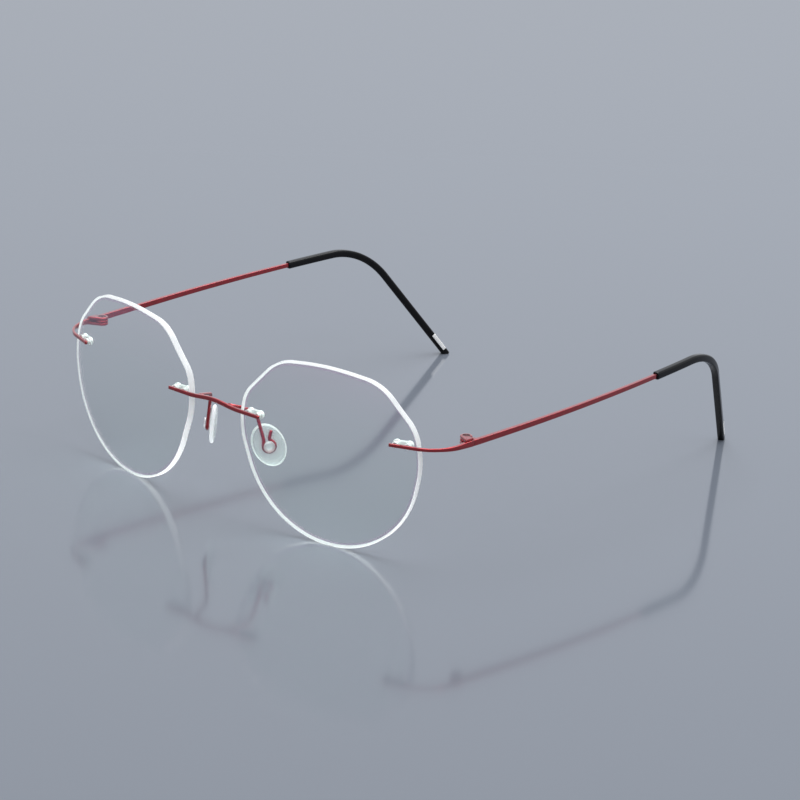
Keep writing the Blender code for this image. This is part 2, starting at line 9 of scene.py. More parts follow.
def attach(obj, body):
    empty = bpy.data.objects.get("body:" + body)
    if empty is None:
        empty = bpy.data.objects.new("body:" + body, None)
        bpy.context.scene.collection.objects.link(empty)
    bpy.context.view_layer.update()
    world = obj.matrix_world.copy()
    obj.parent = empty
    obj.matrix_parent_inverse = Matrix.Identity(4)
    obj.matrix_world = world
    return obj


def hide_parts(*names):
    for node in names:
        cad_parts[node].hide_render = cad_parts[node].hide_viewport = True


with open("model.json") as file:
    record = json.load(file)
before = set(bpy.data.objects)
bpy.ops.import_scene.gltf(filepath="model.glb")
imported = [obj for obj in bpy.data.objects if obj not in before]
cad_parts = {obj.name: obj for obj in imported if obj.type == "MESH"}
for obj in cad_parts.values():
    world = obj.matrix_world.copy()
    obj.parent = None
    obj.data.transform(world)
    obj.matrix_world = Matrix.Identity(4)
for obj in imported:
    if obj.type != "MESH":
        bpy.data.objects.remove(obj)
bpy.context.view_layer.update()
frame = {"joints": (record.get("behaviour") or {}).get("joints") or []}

# ---------------------------------------------------------------- Studio
# A long lens on a tripod, to the wearer's left of the glasses and a little above them. The table is glossy
# grey acrylic in a white tent that is lit evenly. A soft box hangs overhead and two smaller ones fill in.

CAMERA_PLACE = Vector((0.6434, -0.7146, 0.3346))
CAMERA_AZIMUTH = math.radians(42.12)
CAMERA_ELEVATION = math.radians(18.40)
CAMERA_ROLL = math.radians(2.08)
CAMERA_LENS_MM = 165.66
CAMERA_SENSOR_MM = 36.0
TABLE_HALF = 6.0
TABLE_GAP = 0.00002  # the table lies this far under the glasses, so that no two faces coincide
TABLE_GREY = "5A5F67"
ROOM_GREY = "E6EAF1"
ROOM_STRENGTH = 1.05


def colour(code):
    """An sRGB hex colour as linear red, green, blue and 1: c / 12.92 below 0.04045, and elsewhere
    (c + 0.055) / 1.055 to the power 2.4."""
    values = np.array([int(code[i:i + 2], 16) for i in (0, 2, 4)]) / 255
    linear = np.where(values <= 0.04045, values / 12.92, ((values + 0.055) / 1.055) ** 2.4)
    return (*linear.tolist(), 1.0)


def add_node(tree, kind, inputs, **settings):
    """Adds a node with its settings. Each named input gets a value, or a link where it is given a socket."""
    made = tree.nodes.new("ShaderNode" + kind)
    for key, value in settings.items():
        setattr(made, key, value)
    for socket, value in inputs.items():
        if isinstance(value, bpy.types.NodeSocket):
            tree.links.new(value, made.inputs[socket])
        else:
            made.inputs[socket].default_value = value
    return made


def new_material(name):
    """A material, its node tree and, from the only node in it so far, the piece's own coordinates."""
    made = bpy.data.materials.new(name)
    made.use_nodes = True
    made.node_tree.nodes.clear()
    return made, made.node_tree, add_node(made.node_tree, "TexCoord", {}).outputs["Object"]


def aim_camera():
    """Forward is minus sine, then cosine of the azimuth, both times the cosine of the elevation, and down
    by its sine. The roll turns the right and up directions in their own plane."""
    flat = math.cos(CAMERA_ELEVATION)
    forward = Vector((
        -math.sin(CAMERA_AZIMUTH) * flat, math.cos(CAMERA_AZIMUTH) * flat, -math.sin(CAMERA_ELEVATION),
    ))
    right = Vector((math.cos(CAMERA_AZIMUTH), math.sin(CAMERA_AZIMUTH), 0))
    up = right.cross(forward)
    rolled = right * math.cos(CAMERA_ROLL) + up * math.sin(CAMERA_ROLL)
    upright = up * math.cos(CAMERA_ROLL) - right * math.sin(CAMERA_ROLL)
    turn = Matrix((rolled, upright, -forward)).transposed()
    camera = bpy.data.objects.new("camera", bpy.data.cameras.new("camera"))
    camera.data.lens = CAMERA_LENS_MM
    camera.data.sensor_width = CAMERA_SENSOR_MM
    camera.data.clip_start = 0.01
    camera.matrix_world = Matrix.Translation(CAMERA_PLACE) @ turn.to_4x4()
    bpy.context.scene.collection.objects.link(camera)
    bpy.context.scene.camera = camera


def soft_box(name, place, target, width, height, watts):
    """A rectangular lamp that faces its target."""
    lamp = bpy.data.lights.new(name, "AREA")
    lamp.shape = "RECTANGLE"
    lamp.size, lamp.size_y = width, height
    lamp.energy = watts
    made = bpy.data.objects.new(name, lamp)
    made.location = place
    made.rotation_euler = (Vector(target) - Vector(place)).to_track_quat("-Z", "Y").to_euler()
    bpy.context.scene.collection.objects.link(made)


aim_camera()
bpy.context.scene.view_settings.view_transform = "Standard"
soft_box("overhead_box", (-0.10, 0.25, 0.95), (0, 0, 0), 0.9, 0.9, 14.0)
soft_box("front_fill", (0.6, -0.8, 1.15), (0, 0, 0.02), 0.5, 0.5, 5.0)
soft_box("side_strip", (1.1, 0.15, 1.1), (0, 0, 0.03), 0.3, 0.9, 4.0)

room = bpy.data.worlds.new("studio_room")
bpy.context.scene.world = room
room.use_nodes = True
tent = room.node_tree.nodes["Background"].inputs
tent["Color"].default_value = colour(ROOM_GREY)
tent["Strength"].default_value = ROOM_STRENGTH

# Cast acrylic sheet, mid grey: its polished face mirrors the white tent, which makes it look pale. The
# polish is very slightly uneven, in patches 0.3 m wide.
acrylic, tree, spot = new_material("grey_cast_acrylic")
haze = add_node(tree, "TexNoise", {"Vector": spot, "Scale": 3.0, "Detail": 2.0}).outputs["Fac"]
smear = add_node(tree, "MapRange", {"Value": haze, "To Min": 0.08, "To Max": 0.11}).outputs["Result"]
face = add_node(tree, "BsdfPrincipled", {"Base Color": colour(TABLE_GREY), "Roughness": smear})
add_node(tree, "OutputMaterial", {"Surface": face.outputs["BSDF"]})
table_mesh = bpy.data.meshes.new("table")
corner_ways = ((-1, -1), (1, -1), (1, 1), (-1, 1))
table_corners = [(x * TABLE_HALF, y * TABLE_HALF, -TABLE_GAP) for x, y in corner_ways]
table_mesh.from_pydata(table_corners, [], [(0, 1, 2, 3)])
table_mesh.materials.append(acrylic)
table = bpy.data.objects.new("table", table_mesh)
bpy.context.scene.collection.objects.link(table)

# ---------------------------------------------------------------- Lenses
# Two lenses of clear 1.67-index resin, cast, ground to a rounded polygon and drilled with two holes at each
# end. Their faces are polished and carry an anti-reflection coating, and their ground edges are left satin.

UP = np.array((0.0, 0.0, 1.0))
SIDES = (("left", 1), ("right", -1))
LENS_CENTRE = np.array((0.0368, -0.0728, 0.02558))  # optical centre on the left front face
LENS_THICK = 0.0021
LENS_RADIUS = 0.125
LENS_WRAP = math.radians(9.9)
LENS_TILT = math.radians(1.7)
LENS_BOTTOM = -0.02575
LENS_CORNERS = (
    (0.0222, LENS_BOTTOM, 0.026),
    (0.02785, 0.001, 0.022),
    (0.0264, 0.0103, 0.012),
    (0.0159, 0.0212, 0.014),
    (-0.0005, 0.0232, 0.070),
    (-0.0161, 0.0213, 0.013),
    (-0.0265, 0.0104, 0.009),
    (-0.0279, 0.0014, 0.020),
    (-0.0179, LENS_BOTTOM, 0.027),
)  # across, up and radius of each corner, from the optical centre, temple side positive
LENS_OUTLINE_POINTS = 360
LENS_RINGS = 26
FRONT_BEVEL = 0.0002
BACK_BEVEL_WIDE = 0.0008
BACK_BEVEL_DEEP = 0.0004
POOL_WIDE = 0.0006  # the band inside the back bevel where the coating has pooled
EDGE_RINGS = 4
HOLE_RADIUS = 0.0008
HOLE_SPACING = 0.0034
TEMPLE_SIDE_MOUNT = (0.02255, 0.0064)
NOSE_SIDE_MOUNT = (-0.0232, 0.0053)


def unit(vectors):
    """Vectors over their lengths."""
    return vectors / np.linalg.norm(vectors, axis=-1, keepdims=True)


def rounded_path(corners, radii, closed=False, steps=24):
    """A path through corners, each turned into an arc. Where the directions to the neighbours are p and q
    and the angle between them is 2h, the arc's centre is radius / sin h along p + q from the corner, and it
    starts radius / tan h along p and turns by 180 degrees less 2h."""
    corners = np.asarray(corners, float)
    count = len(corners)
    path = []
    for i, (here, radius) in enumerate(zip(corners, radii)):
        if not closed and i in (0, count - 1):
            path.append(here[None])
            continue
        before = unit(corners[i - 1] - here)
        after = unit(corners[(i + 1) % count] - here)
        half = math.acos(float(np.clip(before @ after, -1, 1))) / 2
        centre = here + unit(before + after) * radius / math.sin(half)
        spoke = here + before * radius / math.tan(half) - centre
        ahead = -before * np.linalg.norm(spoke)
        angle = np.linspace(0, math.pi - 2 * half, steps)[:, None]
        path.append(centre + np.cos(angle) * spoke + np.sin(angle) * ahead)
    return np.concatenate(path)


def spaced(path, spots):
    """Points at distances spots along a path, straight between its own points."""
    lengths = np.linalg.norm(np.diff(path, axis=0), axis=1)
    run = np.concatenate(([0], np.cumsum(lengths)))
    keep = np.concatenate(([True], np.diff(run) > 1e-9))
    return np.stack([np.interp(spots, run[keep], path[keep, k]) for k in range(path.shape[1])], axis=1)


def path_length(path):
    """The sum of the distances between neighbouring points."""
    return float(np.linalg.norm(np.diff(path, axis=0), axis=1).sum())


def tube_faces(rows, columns, loop):
    """Quads between neighbouring rings of a grid whose columns close on themselves. Unless the rows do so
    too, a fan of triangles closes each end to one more point, which follow the grid's own points."""
    j = np.arange(columns)
    k = (j + 1) % columns
    i = np.arange(rows if loop else rows - 1)[:, None] * columns
    far = (i + columns) % (rows * columns)
    quads = np.stack([i + j, i + k, far + k, far + j], axis=-1).reshape(-1, 4)
    if loop:
        return quads, np.zeros((0, 3), int)
    last = (rows - 1) * columns
    first_fan = np.stack([np.full(columns, rows * columns), k, j], axis=-1)
    last_fan = np.stack([np.full(columns, rows * columns + 1), last + j, last + k], axis=-1)
    return quads, np.concatenate([first_fan, last_fan])


def solid(name, rings, finishes, loop=False, quad_finish=None):
    """A closed mesh object through rings[i, j]. If six times its volume, the sum over triangles of the
    corners' triple product, is negative, every face is turned round, so that all face outwards."""
    rows, columns = rings.shape[:2]
    points = rings.reshape(-1, 3)
    if not loop:
        points = np.concatenate([points, rings[:1].mean(axis=1), rings[-1:].mean(axis=1)])
    quads, fans = tube_faces(rows, columns, loop)
    triangles = np.concatenate([quads[:, :3], quads[:, [0, 2, 3]], fans])
    a, b, c = (points[triangles[:, k]] for k in range(3))
    if np.einsum("ij,ij->", a, np.cross(b, c)) < 0:
        quads, fans = quads[:, ::-1], fans[:, ::-1]
    mesh = bpy.data.meshes.new(name)
    mesh.from_pydata(points.tolist(), [], quads.tolist() + fans.tolist())
    for finish in finishes:
        mesh.materials.append(finish)
    if quad_finish is not None:
        kinds = np.concatenate([np.repeat(quad_finish, columns), np.zeros(len(fans), int)])
        mesh.polygons.foreach_set("material_index", kinds.astype(np.int32))
    mesh.shade_smooth()
    made = bpy.data.objects.new(name, mesh)
    bpy.context.scene.collection.objects.link(made)
    return made


def carve(base, tool, operation):
    """Joins a closed tool to a base as brazing does, or cuts it out as a drill does. The tool is removed."""
    step = base.modifiers.new(operation, "BOOLEAN")
    step.operation = operation
    step.solver = "MANIFOLD"
    step.object = tool
    bpy.context.view_layer.update()
    result = bpy.data.meshes.new_from_object(base.evaluated_get(bpy.context.evaluated_depsgraph_get()))
    base.modifiers.remove(step)
    base.data = result
    bpy.data.objects.remove(tool, do_unlink=True)


def crisp(target, degrees=32):
    """Leaves edges sharper than an angle unsmoothed, and lets broad faces decide the shading beside them."""
    target.data.shade_smooth()
    target.data.set_sharp_from_angle(angle=math.radians(degrees))
    even = target.modifiers.new("even_faces", "WEIGHTED_NORMAL")
    even.keep_sharp = True


def turned_rings(base, axis, radii, heights, count=40):
    """Circles about an axis: ring i has radius i at height i, so that a profile is turned as on a lathe."""
    axis = unit(np.asarray(axis, float))
    side = unit(np.cross(axis, UP if abs(axis[2]) < 0.9 else np.array((1.0, 0, 0))))
    other = np.cross(axis, side)
    angle = np.linspace(0, math.tau, count, endpoint=False)
    spokes = np.cos(angle)[:, None] * side + np.sin(angle)[:, None] * other
    radii, heights = np.asarray(radii)[:, None, None], np.asarray(heights)[:, None, None]
    return base + axis * heights + spokes[None] * radii


def on_lens(side, u, w, depth=0.0):
    """A point of a lens, u to the temple and w up from its optical centre. The face falls back by
    (u² + w²) / 2R, and then wraps back about the vertical and tilts about the level axis."""
    sag = (u * u + w * w) / (2 * LENS_RADIUS) + depth
    x = u * math.cos(LENS_WRAP) - sag * math.sin(LENS_WRAP)
    y = u * math.sin(LENS_WRAP) + sag * math.cos(LENS_WRAP)
    back = y * math.cos(LENS_TILT) - w * math.sin(LENS_TILT)
    rise = y * math.sin(LENS_TILT) + w * math.cos(LENS_TILT)
    place = LENS_CENTRE + np.stack([x, back, rise], axis=-1)
    return place * np.array((side, 1, 1))


def mount_axes(side, mount):
    """The middle of a mount on the lens front, and the directions outward, forward and up there, from
    small steps along the face. Forward is their cross product, turned towards -Y."""
    step = 0.0001
    u, w = mount
    here, beside, above = (on_lens(side, *np.array(p)) for p in ((u, w), (u + step, w), (u, w + step)))
    outward, upward = unit(beside - here), unit(above - here)
    forward = unit(np.cross(outward, upward))
    return here, outward, forward * -np.sign(forward[1]), upward


def pin_places(side, mount):
    """The middles of a mount's two holes, half their spacing either way from it."""
    here, outward, forward, upward = mount_axes(side, mount)
    return [here + outward * (HOLE_SPACING / 2 * way) for way in (-1, 1)]


def pass_lamps(tree, face, tint):
    """Gives a clear material its face, and lets the lamps straight through it with only a tint."""
    open_way = add_node(tree, "BsdfTransparent", {"Color": colour(tint)})
    lamp_ray = add_node(tree, "LightPath", {}).outputs["Is Shadow Ray"]
    mixed = add_node(tree, "MixShader", {0: lamp_ray, 1: face, 2: open_way.outputs["BSDF"]})
    add_node(tree, "OutputMaterial", {"Surface": mixed.outputs["Shader"]})


# Polished resin, index 1.67, under a coating that takes the green out of its reflections, which leaves a
# faint pink and violet gleam. Lamps pass straight through a lens this thin.
lens_resin, tree, spot = new_material("coated_lens_resin")
drift = add_node(tree, "TexNoise", {"Vector": spot, "Scale": 12.0, "Detail": 1.0}).outputs["Fac"]
wipe = add_node(tree, "Bump", {"Height": drift, "Strength": 0.02, "Distance": 0.0002}).outputs["Normal"]
glass = add_node(tree, "BsdfPrincipled", {
    "Base Color": colour("F7FAF9"), "Roughness": 0.0, "IOR": 1.67, "Transmission Weight": 1.0,
    "Specular Tint": colour("FF8CDC"), "Normal": wipe,
})
pass_lamps(tree, glass.outputs["BSDF"], "FAFDFD")

# The same resin where the wheel ground it: a fine satin that gathers the light inside the lens and glows
# white. The wheel's grain is drawn 0.15 mm wide, coarser than it is, so that it shows.
ground_resin, tree, spot = new_material("ground_resin_edge")
marks = add_node(tree, "TexNoise", {"Vector": spot, "Scale": 6600.0, "Detail": 2.0}).outputs["Fac"]
satin = add_node(tree, "MapRange", {"Value": marks, "To Min": 0.26, "To Max": 0.40}).outputs["Result"]
tooth = add_node(tree, "Bump", {"Height": marks, "Strength": 0.15, "Distance": 0.00004}).outputs["Normal"]
skin = add_node(tree, "BsdfPrincipled", {
    "Base Color": colour("FBFDFC"), "Roughness": satin, "IOR": 1.67, "Normal": tooth,
})
glow = add_node(tree, "BsdfTranslucent", {"Color": colour("FDFFFE"), "Normal": tooth})
edge_mix = add_node(tree, "MixShader", {0: 0.6, 1: skin.outputs["BSDF"], 2: glow.outputs["BSDF"]})
add_node(tree, "OutputMaterial", {"Surface": edge_mix.outputs["Shader"]})

# The coating over the same resin, where it ran together inside the bevel: it tints what is behind it pink.
pooled_coating, tree, spot = new_material("pooled_lens_coating")
runs = add_node(tree, "TexNoise", {"Vector": spot, "Scale": 300.0, "Detail": 1.0}).outputs["Fac"]
pinks = add_node(tree, "Mix", {0: runs, 6: colour("F0DCEC"), 7: colour("D9C2DE")}, data_type="RGBA")
film = add_node(tree, "BsdfPrincipled", {
    "Base Color": pinks.outputs[2], "Roughness": 0.05, "IOR": 1.67, "Transmission Weight": 0.9,
})
pass_lamps(tree, film.outputs["BSDF"], "F4EAF4")


def lens(side, name):
    """Front rings at growing shares of the outline, a bevel, the edge, a wider bevel, the pooled band and the
    back rings. What would pass under the table is pressed up to it, as the flat spot it stands on."""
    corners = [(u, w, 0) for u, w, radius in LENS_CORNERS]
    path = rounded_path(corners, [radius for u, w, radius in LENS_CORNERS], closed=True)
    path = np.concatenate([path, path[:1]])
    spots = np.linspace(0, path_length(path), LENS_OUTLINE_POINTS, endpoint=False)
    outline = spaced(path, spots)[:, :2]
    along = unit(np.roll(outline, -1, axis=0) - np.roll(outline, 1, axis=0))
    inward = np.stack([-along[:, 1], along[:, 0]], axis=1)
    inward *= -np.sign(np.einsum("ij,ij->", inward, outline))
    shares = np.linspace(0.03, 1, LENS_RINGS)[:, None, None]
    front = shares * (outline + inward * FRONT_BEVEL)
    edges = np.repeat(outline[None], EDGE_RINGS, axis=0)
    back_rim = outline + inward * BACK_BEVEL_WIDE
    back = shares[::-1] * (back_rim + inward * POOL_WIDE)
    flat = np.concatenate([front, edges, back_rim[None], back])
    edge_depths = np.linspace(FRONT_BEVEL, LENS_THICK - BACK_BEVEL_DEEP, EDGE_RINGS)
    depth = np.concatenate([np.zeros(LENS_RINGS), edge_depths, np.full(LENS_RINGS + 1, LENS_THICK)])
    rings = on_lens(side, flat[..., 0], flat[..., 1], depth[:, None])
    rings[..., 2] = np.maximum(rings[..., 2], 0)
    kinds = np.zeros(len(rings) - 1, int)
    kinds[LENS_RINGS - 1:LENS_RINGS + EDGE_RINGS] = 1
    kinds[LENS_RINGS + EDGE_RINGS] = 2
    made = solid(name, rings, (lens_resin, ground_resin, pooled_coating), quad_finish=kinds)
    for mount in (TEMPLE_SIDE_MOUNT, NOSE_SIDE_MOUNT):
        forward = mount_axes(side, mount)[2]
        for place in pin_places(side, mount):
            bore = turned_rings(place, forward, (HOLE_RADIUS, HOLE_RADIUS), (-2 * LENS_THICK, LENS_THICK))
            drill = solid("drill", bore, (ground_resin, ground_resin))
            drill.data.polygons.foreach_set("material_index", np.ones(len(drill.data.polygons), np.int32))
            carve(made, drill, "DIFFERENCE")
    crisp(made, 20)
    return made


for word, side in SIDES:
    made = lens(side, word + "_lens_ground")
    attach(made, "front")
    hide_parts(word + "_lens")

# ---------------------------------------------------------------- Compression plugs
# Clear nylon double plugs, injection moulded. Two thin sleeves pass through the holes, and two fat barrels
# joined by a pair of webs lie behind the lens. The strips' pins are pushed in and spread the sleeves.

FIT = 0.00005
PIN_RADIUS = 0.00045
BARREL_RADIUS = 0.00115
BARREL_LENGTH = 0.00095
BARREL_ROUND = 0.0003
WEB_THICK = 0.00026
WEB_TALL = 0.0018
WEB_CORNER = 0.00006
WEB_END_ROUND = 0.00003
END_ROUND = 0.00025
RING_SPACING = 0.0004

# Clear nylon: index 1.53, a soft moulded gloss and a slight milkiness.
nylon, tree, spot = new_material("clear_moulded_nylon")
cloud = add_node(tree, "TexNoise", {"Vector": spot, "Scale": 2500.0, "Detail": 2.0}).outputs["Fac"]
milk = add_node(tree, "MapRange", {"Value": cloud, "To Min": 0.08, "To Max": 0.20}).outputs["Result"]
body = add_node(tree, "BsdfPrincipled", {
    "Base Color": colour("FAFCFC"), "Roughness": milk, "IOR": 1.53, "Transmission Weight": 0.35,
    "Coat Weight": 0.5, "Coat Roughness": 0.05,
})
pass_lamps(tree, body.outputs["BSDF"], "C8CCCC")


def carried(path, thick, tall, corner, upright=UP, end_round=END_ROUND, spacing=RING_SPACING, arc_points=5):
    """Rings of a rounded rectangle carried along a path. Around a ring, each quarter is the corner's centre
    plus the corner radius times the cosine and sine of the angle. thick and tall are given at shares of
    the length. At a distance d from either end, nearer than the end radius e, the ring is smaller all
    round by e less the root of e² - (e - d)², so that the end is flat with a rounded edge. The corner
    radius shrinks as much, but no lower than to a tenth, and stays a little under both half sizes."""
    length = path_length(path)
    count = max(3, int(length / spacing))
    lead = end_round * (1 - np.cos(np.linspace(0, math.pi / 2, 5)[:-1]))
    spots = np.concatenate([lead, np.linspace(end_round, length - end_round, count), (length - lead)[::-1]])
    centres = spaced(path, spots)
    tangents = unit(np.gradient(centres, axis=0))
    across = unit(np.cross(tangents, upright))
    upward = np.cross(across, tangents)
    short = end_round - np.minimum(np.minimum(spots, length - spots), end_round)
    inset = end_round - np.sqrt(end_round ** 2 - short ** 2)
    shares = spots / length
    half_a = (np.interp(shares, *thick) / 2 - inset)[:, None]
    half_b = (np.interp(shares, *tall) / 2 - inset)[:, None]
    bend = np.minimum(np.maximum(corner - inset, 0.1 * corner)[:, None], 0.98 * np.minimum(half_a, half_b))
    quarter = np.repeat(np.arange(4), arc_points)
    angle = (quarter + np.tile(np.linspace(0, 1, arc_points), 4)) * math.pi / 2
    way_a = np.where((quarter == 0) | (quarter == 3), 1, -1)
    way_b = np.where(quarter < 2, 1, -1)
    a = way_a * (half_a - bend) + bend * np.cos(angle)
    b = way_b * (half_b - bend) + bend * np.sin(angle)
    return centres[:, None] + a[..., None] * across[:, None] + b[..., None] * upward[:, None]


def even(size):
    """A size that is the same all the way along a path."""
    return (0, 1), (size, size)


def plug(side, mount, name):
    """Each sleeve with its barrel is a closed profile turned about its hole. The webs are two thin bars."""
    forward = mount_axes(side, mount)[2]
    seat = LENS_THICK + 2 * FIT
    end = seat + BARREL_LENGTH
    bore = PIN_RADIUS + FIT
    sleeve = HOLE_RADIUS - FIT
    angle = np.linspace(0, math.pi / 2, 5)
    lip = BARREL_ROUND * np.sin(angle)
    rise = BARREL_ROUND * (1 - np.cos(angle))
    radii = np.concatenate([
        (bore, sleeve, sleeve), BARREL_RADIUS - rise[::-1], BARREL_RADIUS - rise, (bore,),
    ])
    depths = np.concatenate([
        (-FIT, -FIT, -seat), -seat - BARREL_ROUND + lip[::-1], -end + BARREL_ROUND - lip, (-end,),
    ])
    places = pin_places(side, mount)
    barrels = [
        solid(name, turned_rings(place, forward, radii, depths), (nylon,), loop=True) for place in places
    ]
    made = barrels[0]
    carve(made, barrels[1], "UNION")
    wall = (BARREL_RADIUS + bore) / 2
    outward = unit(places[1] - places[0])
    for depth in (seat + WEB_THICK / 2 + FIT, end - WEB_THICK / 2 - FIT):
        ends = np.array([places[0] + outward * wall, places[1] - outward * wall]) - forward * depth
        web = carried(ends, even(WEB_THICK), even(WEB_TALL), WEB_CORNER, end_round=WEB_END_ROUND)
        carve(made, solid("web", web, (nylon,)), "UNION")
    crisp(made)
    return made


for word, side in SIDES:
    for mount, place in ((TEMPLE_SIDE_MOUNT, "temple"), (NOSE_SIDE_MOUNT, "nose")):
        made = plug(side, mount, f"{word}_{place}_side_plug_moulded")
        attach(made, "front")
        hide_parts(f"{word}_{place}_side_plug")

# ---------------------------------------------------------------- Bridge
# A thin flat strip of nickel silver over the nose, rolled, with two brazed pins at each end that go through
# the lens into the plugs. It is polished, then sprayed with a clear red lacquer.

STRIP_THICK = 0.0007
STRIP_TALL = 0.00085
STRIP_CORNER = 0.00012
STRIP_FROM_HOLE = 0.0014  # from the middle of the outer hole to the strip's end
BRIDGE_TALL = 0.0011
BRIDGE_HALF_GAP = 0.0092
BRIDGE_RISE = 0.0008
BRIDGE_BOW = 0.0002
PIN_DOME = PIN_RADIUS / 2  # how far the domed end of a pin stands out

# Clear red lacquer over polished metal: the metal tints its reflections red, and the lacquer adds its own
# white ones. The lacquer pools slightly, in cells about 1.5 mm wide, with an orange peel of 0.25 mm.
red_lacquer, tree, spot = new_material("red_lacquer_on_metal")
pools = add_node(tree, "TexNoise", {"Vector": spot, "Scale": 650.0, "Detail": 2.0}).outputs["Fac"]
reds = add_node(tree, "Mix", {0: pools, 6: colour("8A0C17"), 7: colour("B21A27")}, data_type="RGBA")
peel = add_node(tree, "TexNoise", {"Vector": spot, "Scale": 4000.0, "Detail": 1.0}).outputs["Fac"]
gloss = add_node(tree, "MapRange", {"Value": peel, "To Min": 0.13, "To Max": 0.20}).outputs["Result"]
wave = add_node(tree, "Bump", {"Height": peel, "Strength": 0.08, "Distance": 0.00002}).outputs["Normal"]
paint = add_node(tree, "BsdfPrincipled", {
    "Base Color": reds.outputs[2], "Metallic": 0.9, "Roughness": gloss, "Normal": wave,
    "Coat Weight": 1.0, "Coat Roughness": 0.05, "Coat Normal": wave,
})
add_node(tree, "OutputMaterial", {"Surface": paint.outputs["BSDF"]})


def strip_middle(side, mount, outward_by):
    """A point of the centre line of the strip that lies on a mount."""
    here, outward, forward, upward = mount_axes(side, mount)
    return here + forward * (FIT + STRIP_THICK / 2) + outward * outward_by


def add_pins(target, side, mount):
    """Brazes the two pins of a mount to a strip. Each is a rod with a domed end: the radius times the sine of
    an angle, at the dome's height times 1 less its cosine."""
    forward = mount_axes(side, mount)[2]
    end = LENS_THICK + BARREL_LENGTH
    angle = np.linspace(0.15, math.pi / 2, 5)
    radii = np.concatenate([PIN_RADIUS * np.sin(angle), (PIN_RADIUS,)])
    heights = np.concatenate([-end + PIN_DOME * (1 - np.cos(angle)), (FIT + STRIP_THICK / 2,)])
    for place in pin_places(side, mount):
        pin = solid("pin", turned_rings(place, forward, radii, heights, 28), (red_lacquer,))
        carve(target, pin, "UNION")


def bridge_line(x):
    """The bridge's centre line: between the lenses it rises and bows forward by the squared cosine of a
    quarter turn times its share of the half gap."""
    tip = strip_middle(1, NOSE_SIDE_MOUNT, 0)
    swell = np.cos(math.pi / 2 * np.minimum(1, np.abs(x) / BRIDGE_HALF_GAP)) ** 2
    return np.stack([x, tip[1] - BRIDGE_BOW * swell, tip[2] + BRIDGE_RISE * swell], axis=-1)


def bridge(name):
    """The strip along its centre line from end to end, taller in the middle by the sine of a half turn times
    the share of its length."""
    reach = HOLE_SPACING / 2 + STRIP_FROM_HOLE
    ends = [strip_middle(way, NOSE_SIDE_MOUNT, reach) for way in (1, -1)]
    middle = bridge_line(np.linspace(BRIDGE_HALF_GAP, -BRIDGE_HALF_GAP, 60))
    path = np.concatenate([ends[:1], middle, ends[1:]])
    shares = np.linspace(0, 1, 41)
    tall = STRIP_TALL + (BRIDGE_TALL - STRIP_TALL) * np.sin(math.pi * shares)
    rings = carried(path, even(STRIP_THICK), (shares, tall), STRIP_CORNER)
    made = solid(name, rings, (red_lacquer,))
    for way in (1, -1):
        add_pins(made, way, NOSE_SIDE_MOUNT)
    crisp(made)
    return made


made = bridge("bridge_strip")
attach(made, "front")
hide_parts("bridge")

# ---------------------------------------------------------------- End pieces
# A strip from two more pins bends back round the lens and thickens to the hinge, where two flat lugs are
# brazed to its inside. One is over and one under the temple's knuckle, with the screw through all three.

HINGE = np.array([j["pos_m"] for j in frame["joints"] if j["name"] == "left_temple_fold"][0])
HINGE_TO_STRIP = 0.00245
STRIP_DROP = 0.0002  # the strips lie this far under the middle of the hinge
KNUCKLE_RADIUS = 0.0016
KNUCKLE_THICK = 0.0007
LUG_THICK = 0.00075
LUG_EDGE = 0.00024
LUG_BITE = 0.00011  # how far inside the strip's own faces a lug's corners lie
GUSSET_LENGTH = 0.0028
STRIP_AT_HINGE_TALL = 0.0016
STRIP_AT_HINGE_THICK = 0.0011
STRIP_END_ROUND = 0.00016
LUG_ARC_DEGREES = 228
LUG_ARC_STEP = 6
END_PIECE_BEND = 0.010
GROWTH_START = 0.55
GROWTH_SHARE = 0.4
SCREW_RADIUS = 0.0005
SCREW_HEAD_RADIUS = 0.00095
SCREW_HEAD_TALL = 0.0004
STRIP_X = HINGE[0] + HINGE_TO_STRIP
STRIP_Z = HINGE[2] - STRIP_DROP


def plate(outline, low, high, edge):
    """Rings of a flat plate with rounded edges: the outline moved in by edge times 1 less the sine of an
    angle, at heights edge times 1 less the cosine from each face."""
    along = unit(np.roll(outline, -1, axis=0) - np.roll(outline, 1, axis=0))
    inward = np.stack([-along[:, 1], along[:, 0]], axis=1)
    inward *= -np.sign(np.einsum("ij,ij->", inward, outline - outline.mean(axis=0)))
    angle = np.linspace(0, math.pi / 2, 5)
    insets = np.concatenate([edge * (1 - np.sin(angle)), edge * (1 - np.sin(angle))[::-1]])
    levels = np.concatenate([low + edge * (1 - np.cos(angle)), high - edge * (1 - np.cos(angle))[::-1]])
    flat = outline[None] + inward[None] * insets[:, None, None]
    level = np.broadcast_to(levels[:, None, None], (*flat.shape[:2], 1))
    return np.concatenate([flat, level], axis=2)


def lug_outline(way):
    """A hinge plate from above: an arc about the screw, and a foot along the strip to its front, or to its
    rear where way is 1."""
    angle = np.radians(np.arange(0, LUG_ARC_DEGREES + 1, LUG_ARC_STEP))
    arc = HINGE[:2] + KNUCKLE_RADIUS * np.stack([np.cos(angle), -way * np.sin(angle)], axis=1)
    start = [(STRIP_X + LUG_BITE, HINGE[1] + way * (FIT + LUG_BITE))]
    foot_y = HINGE[1] + way * GUSSET_LENGTH
    feet = [(STRIP_X - STRIP_AT_HINGE_THICK / 4, foot_y), (STRIP_X + LUG_BITE, foot_y)]
    return np.concatenate([start, arc, feet])


